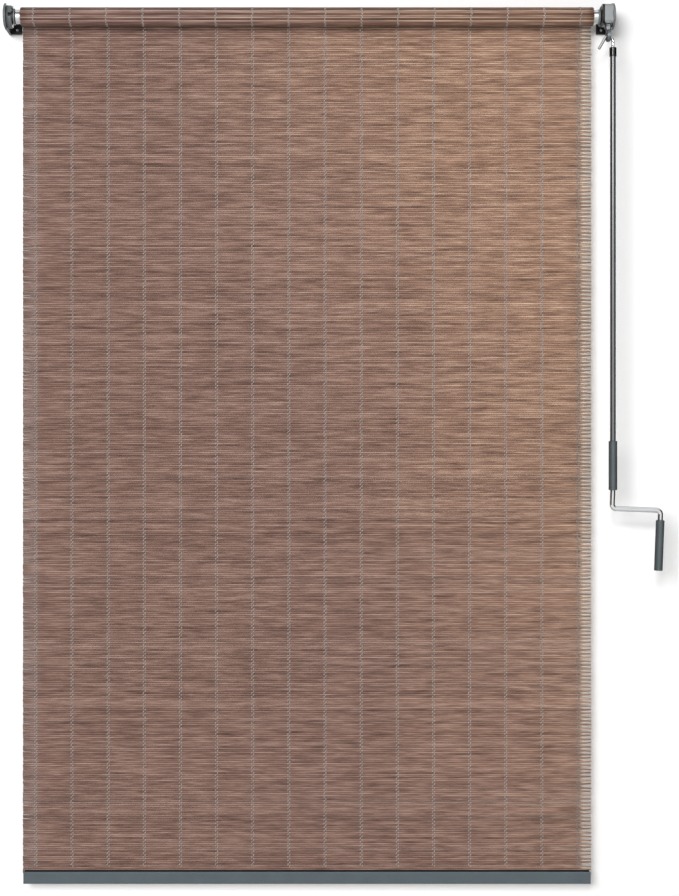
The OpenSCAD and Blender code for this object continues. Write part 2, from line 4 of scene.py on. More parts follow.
import bpy
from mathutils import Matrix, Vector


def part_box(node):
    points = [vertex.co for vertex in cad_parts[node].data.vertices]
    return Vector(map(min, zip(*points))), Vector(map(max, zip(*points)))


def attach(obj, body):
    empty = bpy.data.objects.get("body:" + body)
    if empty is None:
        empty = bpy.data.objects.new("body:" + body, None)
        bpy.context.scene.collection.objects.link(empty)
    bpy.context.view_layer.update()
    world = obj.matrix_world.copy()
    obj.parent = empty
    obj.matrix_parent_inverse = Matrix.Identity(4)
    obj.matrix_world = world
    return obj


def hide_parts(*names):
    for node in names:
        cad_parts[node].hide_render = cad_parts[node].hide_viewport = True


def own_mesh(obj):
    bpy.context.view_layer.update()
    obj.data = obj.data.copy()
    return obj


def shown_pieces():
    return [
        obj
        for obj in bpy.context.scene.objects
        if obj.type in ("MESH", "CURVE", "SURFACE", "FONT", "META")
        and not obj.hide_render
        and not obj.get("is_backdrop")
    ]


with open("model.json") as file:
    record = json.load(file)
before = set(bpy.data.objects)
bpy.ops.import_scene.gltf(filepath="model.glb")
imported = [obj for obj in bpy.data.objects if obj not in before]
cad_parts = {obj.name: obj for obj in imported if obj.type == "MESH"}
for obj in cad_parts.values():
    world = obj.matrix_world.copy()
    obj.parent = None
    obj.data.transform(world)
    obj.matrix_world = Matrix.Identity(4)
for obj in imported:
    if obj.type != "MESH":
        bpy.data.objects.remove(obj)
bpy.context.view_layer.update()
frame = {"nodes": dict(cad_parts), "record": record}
nodes = frame["nodes"]
print("stage 1: frame loaded,", len(nodes), "nodes")


def linearColour(hexText):
    channels = [int(hexText[i:i + 2], 16) / 255 for i in (1, 3, 5)]
    return [c / 12.92 if c <= 0.04045 else ((c + 0.055) / 1.055) ** 2.4 for c in channels] + [1.0]


# adds one node, sets its properties and unlinked sockets, then joins its inputs;
# a node that is given as a link stands for its first output
def addNode(tree, kind, settings=None, links=None):
    node = tree.nodes.new(kind)
    for key, value in (settings or {}).items():
        if isinstance(key, str) and hasattr(node, key):
            setattr(node, key, value)
        else:
            node.inputs[key].default_value = value
    for key, source in (links or {}).items():
        socket = source.outputs[0] if isinstance(source, bpy.types.Node) else source
        tree.links.new(socket, node.inputs[key])
    return node


# places and colours the first stops of a colour ramp
def setRamp(ramp, stops):
    for stop, (place, colour) in zip(ramp.color_ramp.elements, stops):
        stop.position = place
        stop.color = linearColour(colour)


def newMaterial(name):
    material = bpy.data.materials.new(name)
    material.use_nodes = True
    tree = material.node_tree
    tree.nodes.clear()
    shader = addNode(tree, "ShaderNodeBsdfPrincipled")
    addNode(tree, "ShaderNodeOutputMaterial", links={"Surface": shader})
    return material, tree, shader


# reed mat sizes in metres, from the CAD where it has them
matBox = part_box("shade_panel")
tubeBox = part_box("roller_tube")
mat = {
    "left": matBox[0].x,
    "right": matBox[1].x,
    "top": matBox[1].z,
    "bottom": matBox[0].z,
    "midY": (matBox[0].y + matBox[1].y) / 2,
    "thick": matBox[1].y - matBox[0].y,
    "reeds": 459,
    "axisY": (tubeBox[0].y + tubeBox[1].y) / 2,
    "rollRadius": 0.021,
    "layPitch": 0.0024,
    "woundReeds": 44,
    "warps": 16,
    "warpInset": 0.026,
    "bareReeds": 4,  # in the rail, below the ends of the threads
}
mat["width"] = mat["right"] - mat["left"]
mat["pitch"] = (mat["top"] - mat["bottom"]) / mat["reeds"]
mat["midX"] = (mat["left"] + mat["right"]) / 2
mat["warpPitch"] = (mat["width"] - 2 * mat["warpInset"]) / (mat["warps"] - 1)

# Split reed, dyed brown and dried: each stem took the dye differently, so neighbours differ in tone,
# with long paler and darker fibres and a soft sheen along the crown.
reedLook = {
    "name": "split reed, dyed",
    "pale": "#c8a997",
    "mid": "#9a7969",
    "dark": "#5d4235",
    "darkAt": 0.05,
    "midAt": 0.48,
    "paleAt": 0.95,
    # painted light over the whole mat: darker and cool at the lower left, brighter and warm at the upper
    # right, with random batches of dye in it
    "cool": "#d7d0d3",
    "warm": "#fbf7ec",
    "coolAt": 0.48,
    "warmAt": 0.86,
    "paintedLightAcross": 0.6,
    "paintedLightUp": 0.2,
    "driftNoise": 0.2,
    "driftStart": 0.4,
    "driftLength": 0.34,
    # painted light: free ends painted paler, standing in for light on and between the loose ends; where
    # they start and end is counted in warp insets from the side edge
    "paintedEndLight": "#e6dad0",
    "endLightShare": 0.85,
    "endLightLeast": 0.1,
    "rightStart": 0.9,
    "rightFull": 0.5,
    "leftStart": 1.6,
    "leftFull": 0.6,
    "leftShare": 0.16,
    # streaks and fibres in metres; the fibres are drawn coarser than real ones, so that they show
    "toneShift": (57.0, 31.0, 0.0),
    "streakLength": 0.052,
    "streakWidth": 0.0064,
    "streakShare": 1.55,
    "toneShare": 0.24,
    "offset": -0.4,
    "fibreWidth": 0.0016,
    "roughness": 0.42,
    "ior": 1.45,
    "fibreBump": 0.00025,
    "sheenSpread": 0.3,
    "seamShade": 1.15,
    "seamPower": 4.0,
    "warpShade": 0.05,
    "warpReach": 0.3,
}
# The reeds on the roller: whole stems differ more, the colours are darker, the crowns are polished,
# and painted shade makes the seams nearly black.
woundLook = {
    **reedLook,
    "name": "split reed, dyed and worn",
    "pale": "#bfa695",
    "mid": "#7b5b4d",
    "dark": "#3d231a",
    "cool": "#f3eef5",
    "endLightShare": 0.0,
    "streakLength": 0.11,
    "streakShare": 1.2,
    "toneShare": 0.62,
    "offset": -0.47,
    "roughness": 0.34,
    "seamShade": 1.4,
}


def reedMaterial(look):
    material, tree, shader = newMaterial(look["name"])
    tone = addNode(tree, "ShaderNodeAttribute", {"attribute_name": "tone"})
    place = addNode(tree, "ShaderNodeTexCoord")
    shifted = addNode(tree, "ShaderNodeCombineXYZ", {}, {0: tone.outputs["Fac"], 1: tone.outputs["Fac"]})
    streakScale = (1 / look["streakLength"], 1 / look["streakWidth"], 1 / look["streakWidth"])
    stretched = addNode(tree, "ShaderNodeMapping", {"Scale": streakScale},
                        {"Vector": place.outputs["Object"]})
    spread = addNode(tree, "ShaderNodeVectorMath", {"operation": "MULTIPLY_ADD", 1: look["toneShift"]},
                     {0: shifted, 2: stretched})
    streak = addNode(tree, "ShaderNodeTexNoise", {"Scale": 1.0, "Detail": 4.0, "Roughness": 0.55},
                     {"Vector": spread})
    fibreScale = (2 / look["streakLength"], 1 / look["fibreWidth"], 1 / look["fibreWidth"])
    fibres = addNode(tree, "ShaderNodeMapping", {"Scale": fibreScale},
                     {"Vector": place.outputs["Object"]})
    fibre = addNode(tree, "ShaderNodeTexNoise", {"Scale": 1.0, "Detail": 3.0}, {"Vector": fibres})
    mixed = addNode(tree, "ShaderNodeMath",
                    {"operation": "MULTIPLY_ADD", 1: look["streakShare"], 2: look["offset"]}, {0: streak})
    value = addNode(tree, "ShaderNodeMath", {"operation": "MULTIPLY_ADD", 1: look["toneShare"]},
                    {0: tone.outputs["Fac"], 2: mixed})
    ramp = addNode(tree, "ShaderNodeValToRGB", {}, {0: value})
    setRamp(ramp, ((look["darkAt"], look["dark"]), (look["paleAt"], look["pale"])))
    ramp.color_ramp.elements.new(look["midAt"]).color = linearColour(look["mid"])
    # painted shade: the reeds are darkened towards where two reeds meet, standing in for the shade in the
    # crease, and on the left of each warp, standing in for the shade of the ripple its pull makes
    seam = addNode(tree, "ShaderNodeAttribute", {"attribute_name": "seam"})
    deep = addNode(tree, "ShaderNodeMath", {"operation": "POWER", 1: look["seamPower"]},
                   {0: seam.outputs["Fac"]})
    paintedSeamShade = addNode(tree, "ShaderNodeMath",
                       {"operation": "MULTIPLY_ADD", 1: -look["seamShade"], 2: 1.0}, {0: deep})
    across = addNode(tree, "ShaderNodeSeparateXYZ", {}, {0: place.outputs["Object"]})
    warpCount = addNode(tree, "ShaderNodeMath",
                        {"operation": "MULTIPLY_ADD", 1: 1 / mat["warpPitch"],
                         2: -(mat["left"] + mat["warpInset"]) / mat["warpPitch"]}, {0: across})
    warpShare = addNode(tree, "ShaderNodeMath", {"operation": "FRACT"}, {0: warpCount})
    paintedWarpShade = addNode(tree, "ShaderNodeMapRange",
                   {"interpolation_type": "SMOOTHSTEP", "From Min": 1 - look["warpReach"],
                    "From Max": 1 - look["warpReach"] / 2, "To Min": 1.0,
                    "To Max": 1 - look["warpShade"]}, {"Value": warpShare})
    shade = addNode(tree, "ShaderNodeMath", {"operation": "MULTIPLY"}, {0: paintedSeamShade, 1: paintedWarpShade})
    # painted light: the free ends past the last warp are painted paler; the tint over the mat, darker at
    # the lower left and brighter at the upper right, is painted light too, with random dye batches in it
    paled = addNode(tree, "ShaderNodeMapRange",
                    {"interpolation_type": "SMOOTHSTEP",
                     "From Min": mat["right"] - mat["warpInset"] * look["rightStart"],
                     "From Max": mat["right"] - mat["warpInset"] * look["rightFull"],
                     "To Max": look["endLightShare"]}, {"Value": across})
    # every other reed takes more of the painted end light
    turned = addNode(tree, "ShaderNodeAttribute", {"attribute_name": "turned"})
    endLightEveryOther = addNode(tree, "ShaderNodeMapRange", {"To Min": look["endLightLeast"]},
                     {"Value": turned.outputs["Fac"]})
    paleRight = addNode(tree, "ShaderNodeMath", {"operation": "MULTIPLY"}, {0: paled, 1: endLightEveryOther})
    paleLeft = addNode(tree, "ShaderNodeMapRange",
                       {"interpolation_type": "SMOOTHSTEP",
                        "From Min": mat["left"] + mat["warpInset"] * look["leftStart"],
                        "From Max": mat["left"] + mat["warpInset"] * look["leftFull"],
                        "To Max": look["endLightShare"] * look["leftShare"]}, {"Value": across})
    paleShare = addNode(tree, "ShaderNodeMath", {"operation": "ADD"}, {0: paleRight, 1: paleLeft})
    withPaintedEndLight = addNode(tree, "ShaderNodeMix", {"data_type": "RGBA", 7: linearColour(look["paintedEndLight"])},
                        {0: paleShare, 6: ramp})
    batch = addNode(tree, "ShaderNodeTexNoise", {"Scale": 1 / look["driftLength"], "Detail": 1.0},
                    {"Vector": place.outputs["Object"]})
    mild = addNode(tree, "ShaderNodeMath",
                   {"operation": "MULTIPLY_ADD", 1: look["driftNoise"], 2: look["driftStart"]},
                   {0: batch})
    # painted light: the tint runs darker at the lower left and brighter at the upper right
    leanAcross = addNode(tree, "ShaderNodeMath", {"operation": "MULTIPLY_ADD", 1: look["paintedLightAcross"]},
                         {0: across, 2: mild})
    midDown = (mat["top"] + mat["bottom"]) / 2
    height = addNode(tree, "ShaderNodeMath", {"operation": "SUBTRACT", 1: midDown},
                     {0: across.outputs[2]})
    lean = addNode(tree, "ShaderNodeMath", {"operation": "MULTIPLY_ADD", 1: look["paintedLightUp"]},
                   {0: height, 2: leanAcross})
    tint = addNode(tree, "ShaderNodeValToRGB", {}, {0: lean})
    setRamp(tint, ((look["coolAt"], look["cool"]), (look["warmAt"], look["warm"])))
    tinted = addNode(tree, "ShaderNodeVectorMath", {"operation": "MULTIPLY"},
                     {0: withPaintedEndLight.outputs[2], 1: tint})
    # the dyed colour also carries the painted seam and warp shade, the painted end light and the painted
    # light over the mat
    dyed = addNode(tree, "ShaderNodeVectorMath", {"operation": "SCALE"}, {0: tinted, "Scale": shade})
    sheen = addNode(tree, "ShaderNodeMath",
                    {"operation": "MULTIPLY_ADD", 1: look["sheenSpread"],
                     2: look["roughness"] - look["sheenSpread"] / 2}, {0: fibre})
    bump = addNode(tree, "ShaderNodeBump", {"Distance": look["fibreBump"], "Strength": 0.6},
                   {"Height": fibre})
    tree.links.new(dyed.outputs[0], shader.inputs["Base Color"])
    tree.links.new(sheen.outputs[0], shader.inputs["Roughness"])
    tree.links.new(bump.outputs[0], shader.inputs["Normal"])
    shader.inputs["IOR"].default_value = look["ior"]
    return material


# Twisted polyester yarn: pale grey-beige, matt, with the ply showing as slanted ridges.
# The ply is drawn at 1.6 mm, coarser than the real 0.5 mm, so that it shows.
yarnLook = {
    "light": "#a89f9a",
    "dark": "#796f6a",
    "darkAt": 0.25,
    "lightAt": 0.85,
    "ply": 0.0016,
    "plySlant": 0.7,
    "plyShare": 0.5,
    "plyBump": 0.0003,
    "blotchScale": 45.0,
    "roughness": 0.85,
    "sheen": 0.25,
    # the last line at the right is darker; the two ends of the change are in warp insets from the edge
    "lastLine": 0.72,
    "lastLineStart": 1.5,
    "lastLineFull": 1.3,
}


def yarnMaterial(look):
    material, tree, shader = newMaterial("polyester yarn, twisted")
    place = addNode(tree, "ShaderNodeTexCoord")
    slant = addNode(tree, "ShaderNodeMapping", {"Rotation": (0.0, look["plySlant"], 0.0)},
                    {"Vector": place.outputs["Object"]})
    # a wave texture repeats every 0.314 / scale
    ply = addNode(tree, "ShaderNodeTexWave",
                  {"bands_direction": "Z", "Scale": 0.314 / look["ply"], "Distortion": 1.5},
                  {"Vector": slant})
    tone = addNode(tree, "ShaderNodeTexNoise", {"Scale": look["blotchScale"], "Detail": 2.0},
                   {"Vector": place.outputs["Object"]})
    share = addNode(tree, "ShaderNodeMath", {"operation": "MULTIPLY_ADD", 1: look["plyShare"]},
                    {0: ply.outputs[1], 2: tone})
    shade = addNode(tree, "ShaderNodeValToRGB", {}, {0: share})
    setRamp(shade, ((look["darkAt"], look["dark"]), (look["lightAt"], look["light"])))
    bump = addNode(tree, "ShaderNodeBump", {"Distance": look["plyBump"], "Strength": 0.6},
                   {"Height": ply.outputs[1]})
    across = addNode(tree, "ShaderNodeSeparateXYZ", {}, {0: place.outputs["Object"]})
    lastLineTone = addNode(tree, "ShaderNodeMapRange",
                   {"From Min": mat["right"] - mat["warpInset"] * look["lastLineStart"],
                    "From Max": mat["right"] - mat["warpInset"] * look["lastLineFull"], "To Min": 1.0,
                    "To Max": look["lastLine"]}, {"Value": across})
    darkenedColour = addNode(tree, "ShaderNodeVectorMath", {"operation": "SCALE"}, {0: shade, "Scale": lastLineTone})
    tree.links.new(darkenedColour.outputs[0], shader.inputs["Base Color"])
    tree.links.new(bump.outputs[0], shader.inputs["Normal"])
    shader.inputs["Roughness"].default_value = look["roughness"]
    shader.inputs["Sheen Weight"].default_value = look["sheen"]
    return material


# Hard finishes. Each has a colour that drifts a little over the piece, a surface grain with its own
# size and depth, a gloss that varies with it, edges that are rounded and rubbed paler, and painted
# shade that darkens narrow gaps.
# Grain sizes are real ones, or as coarse as they need to show.
hardFinishes = {
    # aluminium tube as it leaves the die: fine lines along it, half bright
    "tube_aluminium": {"name": "aluminium, extruded", "colour": "#d4d7d8", "metallic": 1.0,
                       "roughness": 0.3, "grain": 0.0012, "stretch": (0.02, 1, 1), "depth": 0.00004,
                       "drift": 0.05, "rub": "#eef0f0"},
    # ABS from a spark-eroded mould: even, dry, faintly pebbled
    "grey_moulding": {"name": "ABS, moulded grey", "colour": "#818485", "roughness": 0.5, "grain": 0.0014,
                      "depth": 0.00006, "drift": 0.08, "rub": "#b4b7b8"},
    "cover_moulding": {"name": "ABS, moulded mid grey", "colour": "#606466", "roughness": 0.42,
                       "grain": 0.0014, "depth": 0.00006, "drift": 0.1, "rub": "#a3a8aa"},
    "cap_moulding": {"name": "ABS, moulded slate", "colour": "#454d50", "roughness": 0.48,
                     "grain": 0.0014, "depth": 0.00006, "drift": 0.08, "rub": "#727b7e"},
    # steel bracket under black powder coat: soft orange peel
    "coated_steel": {"name": "steel, powder-coated black", "colour": "#151617", "roughness": 0.36,
                     "grain": 0.0018, "depth": 0.00008, "drift": 0.15, "rub": "#8b8f91"},
    # zinc die casting with a thin satin paint
    "housing_metal": {"name": "zinc, die-cast and painted", "colour": "#7e8182", "roughness": 0.38,
                      "grain": 0.0016, "depth": 0.00007, "drift": 0.09, "rub": "#c5c9ca"},
    # bare zinc casting, tumbled smooth: grey, with soft broad highlights
    "cast_metal": {"name": "zinc, die-cast and tumbled", "colour": "#6a6e71", "metallic": 0.9,
                   "roughness": 0.38, "grain": 0.0016, "depth": 0.00008, "drift": 0.12, "rub": "#b9bdbf"},
    # polypropylene, black, slightly oily
    "black_moulding": {"name": "polypropylene, moulded black", "colour": "#0e0e0f", "roughness": 0.4,
                       "shine": 0.25, "grain": 0.0014, "depth": 0.00005, "drift": 0.12, "rub": "#4a4b4c"},
    # polished black cap with a sharp highlight
    "black_gloss": {"name": "ABS, polished black", "colour": "#0b0c0d", "roughness": 0.1, "grain": 0.004,
                    "depth": 0.00002, "drift": 0.1, "rub": "#2b2d2e", "coat": 0.6},
    # zinc-plated steel: cool, cloudy brightness
    "bright_steel": {"name": "steel, zinc-plated", "colour": "#b6babc", "metallic": 1.0, "roughness": 0.3,
                     "grain": 0.0015, "depth": 0.00003, "drift": 0.1, "rub": "#e2e6e8"},
    # natural nylon: warm white, slightly waxy
    "gear_nylon": {"name": "nylon, moulded natural", "colour": "#ddd7c8", "roughness": 0.45,
                   "grain": 0.002, "depth": 0.00004, "drift": 0.05, "rub": "#efeae0"},
    # sintered bronze: pores show as fine dark specks
    "bearing_bronze": {"name": "bronze, sintered", "colour": "#8f6d3e", "metallic": 1.0,
                       "roughness": 0.45, "grain": 0.0008, "depth": 0.00005, "drift": 0.2,
                       "rub": "#d9b173"},
    # bright chrome over a drawn wire; the dark rim tint is painted shade that darkens its reflection at
    # the edges
    "chromed_wire": {"name": "steel wire, chrome-plated", "colour": "#e2e4e6", "metallic": 1.0,
                     "roughness": 0.07, "grain": 0.006, "depth": 0.00002, "drift": 0.03, "rub": "#f4f6f7",
                     "rim": "#2c2e30"},
    # drawn tube with a satin grey lacquer: long bright stripe, darker sides
    "pole_metal": {"name": "aluminium tube, lacquered satin grey", "colour": "#86898b", "metallic": 0.85,
                   "roughness": 0.27, "grain": 0.0014, "stretch": (1, 1, 0.02), "depth": 0.00003,
                   "drift": 0.06, "rub": "#a9adaf"},
    # grip sleeves in slate PVC with a metallic pigment: satin, brighter along the crown; the dark rim
    # tint is painted shade that darkens the reflection on the sides
    "grip_moulding": {"name": "PVC sleeve, metallic slate", "colour": "#737c7f", "metallic": 0.5,
                      "roughness": 0.4, "shine": 0.02, "rim": "#2c2e30", "grain": 0.0022,
                      "stretch": (1, 1, 0.35), "depth": 0.0001, "drift": 0.1, "rub": "#6f777a"},
    # extruded rail under slate powder coat
    "rail_coating": {"name": "aluminium, powder-coated slate", "colour": "#4c585d", "roughness": 0.4,
                     "grain": 0.002, "stretch": (0.3, 1, 1), "depth": 0.00006, "drift": 0.08,
                     "rub": "#8a949a"},
}

# rubbed edges, and painted shade in narrow gaps, that all hard finishes share; lengths in metres
wearAndGapShade = {
    "cloudScale": 28.0,
    "grainShare": 0.35,
    "driftAt": (0.4, 0.95),
    "samples": 4,
    "gapReach": 0.007,
    "gapClosed": 0.25,
    "gapOpen": 0.85,
    "gapTone": 0.12,
    "edgeRadius": 0.0006,
    "edgeStart": 0.995,
    "edgeFull": 0.88,
    "edgeShare": 0.6,
    "glossLeast": 0.8,
    "glossSpread": 0.4,
    "coatRoughness": 0.05,
}


def hardMaterial(look):
    material, tree, shader = newMaterial(look["name"])
    place = addNode(tree, "ShaderNodeTexCoord")
    cloud = addNode(tree, "ShaderNodeTexNoise", {"Scale": wearAndGapShade["cloudScale"], "Detail": 3.0},
                    {"Vector": place.outputs["Object"]})
    lines = addNode(tree, "ShaderNodeMapping", {"Scale": look.get("stretch", (1, 1, 1))},
                    {"Vector": place.outputs["Object"]})
    grain = addNode(tree, "ShaderNodeTexNoise", {"Scale": 1 / look["grain"], "Detail": 2.0},
                    {"Vector": lines})
    blend = addNode(tree, "ShaderNodeMath", {"operation": "MULTIPLY_ADD", 1: wearAndGapShade["grainShare"]},
                    {0: grain, 2: cloud})
    colour = linearColour(look["colour"])
    drift = addNode(tree, "ShaderNodeValToRGB", {}, {0: blend})
    gains = (1 - look["drift"], 1 + look["drift"])
    for stop, spot, gain in zip(drift.color_ramp.elements, wearAndGapShade["driftAt"], gains):
        stop.position = spot
        stop.color = [min(1.0, c * gain) for c in colour[:3]] + [1.0]
    # painted shade: narrow gaps are darkened by an ambient-occlusion mask, standing in for the shade that
    # falls there
    hollow = addNode(tree, "ShaderNodeAmbientOcclusion",
                     {"samples": wearAndGapShade["samples"], "Distance": wearAndGapShade["gapReach"]})
    paintedGapShade = addNode(tree, "ShaderNodeMapRange",
                    {"From Min": wearAndGapShade["gapClosed"], "From Max": wearAndGapShade["gapOpen"],
                     "To Min": wearAndGapShade["gapTone"], "To Max": 1.0}, {"Value": hollow.outputs["AO"]})
    # where the rounded normal leaves the flat one there is an edge
    eased = addNode(tree, "ShaderNodeBevel", {"samples": wearAndGapShade["samples"], "Radius": wearAndGapShade["edgeRadius"]})
    flat = addNode(tree, "ShaderNodeNewGeometry")
    turn = addNode(tree, "ShaderNodeVectorMath", {"operation": "DOT_PRODUCT"},
                   {0: eased, 1: flat.outputs["Normal"]})
    edge = addNode(tree, "ShaderNodeMapRange",
                   {"From Min": wearAndGapShade["edgeStart"], "From Max": wearAndGapShade["edgeFull"],
                    "To Max": wearAndGapShade["edgeShare"]}, {"Value": turn.outputs["Value"]})
    worn = addNode(tree, "ShaderNodeMath", {"operation": "MULTIPLY"}, {0: edge, 1: cloud})
    paint = addNode(tree, "ShaderNodeMix", {"data_type": "RGBA", 7: linearColour(look["rub"])},
                    {0: worn, 6: drift})
    gloss = addNode(tree, "ShaderNodeMath",
                    {"operation": "MULTIPLY_ADD", 1: look["roughness"] * wearAndGapShade["glossSpread"],
                     2: look["roughness"] * wearAndGapShade["glossLeast"]}, {0: blend})
    bump = addNode(tree, "ShaderNodeBump", {"Distance": look["depth"], "Strength": 0.5},
                   {"Height": grain, "Normal": eased})
    # painted shade: the colour is darkened in narrow gaps
    darkenedColour = addNode(tree, "ShaderNodeVectorMath", {"operation": "SCALE"},
                     {0: paint.outputs[2], "Scale": paintedGapShade})
    tree.links.new(darkenedColour.outputs[0], shader.inputs["Base Color"])
    tree.links.new(gloss.outputs[0], shader.inputs["Roughness"])
    tree.links.new(bump.outputs[0], shader.inputs["Normal"])
    shader.inputs["Metallic"].default_value = look.get("metallic", 0.0)
    shader.inputs["Specular IOR Level"].default_value = look.get("shine", 0.5)
    # painted shade: a dark rim tint darkens the reflection towards the edges
    if "rim" in look:
        shader.inputs["Specular Tint"].default_value = linearColour(look["rim"])
    if "coat" in look:
        shader.inputs["Coat Weight"].default_value = look["coat"]
        shader.inputs["Coat Roughness"].default_value = wearAndGapShade["coatRoughness"]
    return material


finishes = {slot: hardMaterial(look) for slot, look in hardFinishes.items()}
finishes["reed"] = reedMaterial(reedLook)
woundFinish = reedMaterial(woundLook)
finishes["warp_thread"] = yarnMaterial(yarnLook)
for row in frame["record"]["subparts"]:
    for holder in nodes[row["node"]].material_slots:
        holder.material = finishes[row["material_slot"]]
print("stage 2:", len(finishes), "materials on the CAD nodes")


# a Geometry Nodes tree with one named input for every size
def newTree(name, sizes):
    tree = bpy.data.node_groups.new(name, "GeometryNodeTree")
    kinds = {int: "NodeSocketInt", float: "NodeSocketFloat"}
    for label, value in sizes.items():
        tree.interface.new_socket(name=label, in_out="INPUT", socket_type=kinds[type(value)])
    tree.interface.new_socket(name="Geometry", in_out="OUTPUT", socket_type="NodeSocketGeometry")
    return tree, addNode(tree, "NodeGroupInput").outputs


# one object from a tree: sizes go in by socket identifier, the result comes out as a plain mesh
def growMesh(name, tree, sizes):
    seedMesh = bpy.data.meshes.new(name + "_seed")
    piece = bpy.data.objects.new(name, seedMesh)
    bpy.context.scene.collection.objects.link(piece)
    modifier = piece.modifiers.new("nodes", "NODES")
    modifier.node_group = tree
    for item in tree.interface.items_tree:
        if item.in_out == "INPUT":
            modifier[item.identifier] = sizes[item.name]
    graph = bpy.context.evaluated_depsgraph_get()
    mesh = bpy.data.meshes.new_from_object(piece.evaluated_get(graph))
    piece.modifiers.clear()
    piece.data = mesh
    mesh.name = name
    bpy.data.meshes.remove(seedMesh)
    print("   ", name, len(mesh.polygons), "faces")
    return piece


# one reed along x, thinner over its free ends, laid on every point and then bent a little; it stands
# out past the solid mat at both sides, overlaps the next one and is thinner than the mat
reedFit = {"past": 0.005, "overlap": 1.02, "thin": 0.94, "slimmest": 0.86, "fattest": 1.06,
           "bends": 4.0, "reedStep": 941.0, "sideStep": 13.7}
reedSizes = {
    "Width": mat["width"] + reedFit["past"],
    "Middle": mat["midX"],
    "Height": mat["pitch"] * reedFit["overlap"],
    "Thick": mat["thick"] * reedFit["thin"],
    "Free end": 0.034,
    "End taper": 0.21,
    "Right bias": 0.72,
    "Spread": 0.0013,
    "Trim": 0.0012,
    "Tone low": 0.0,
    "Tone high": 1.0,
    "Wave": 0.0004,
    "Sides": 6,
    "Segments": 10,
    "Seed": 7,
}


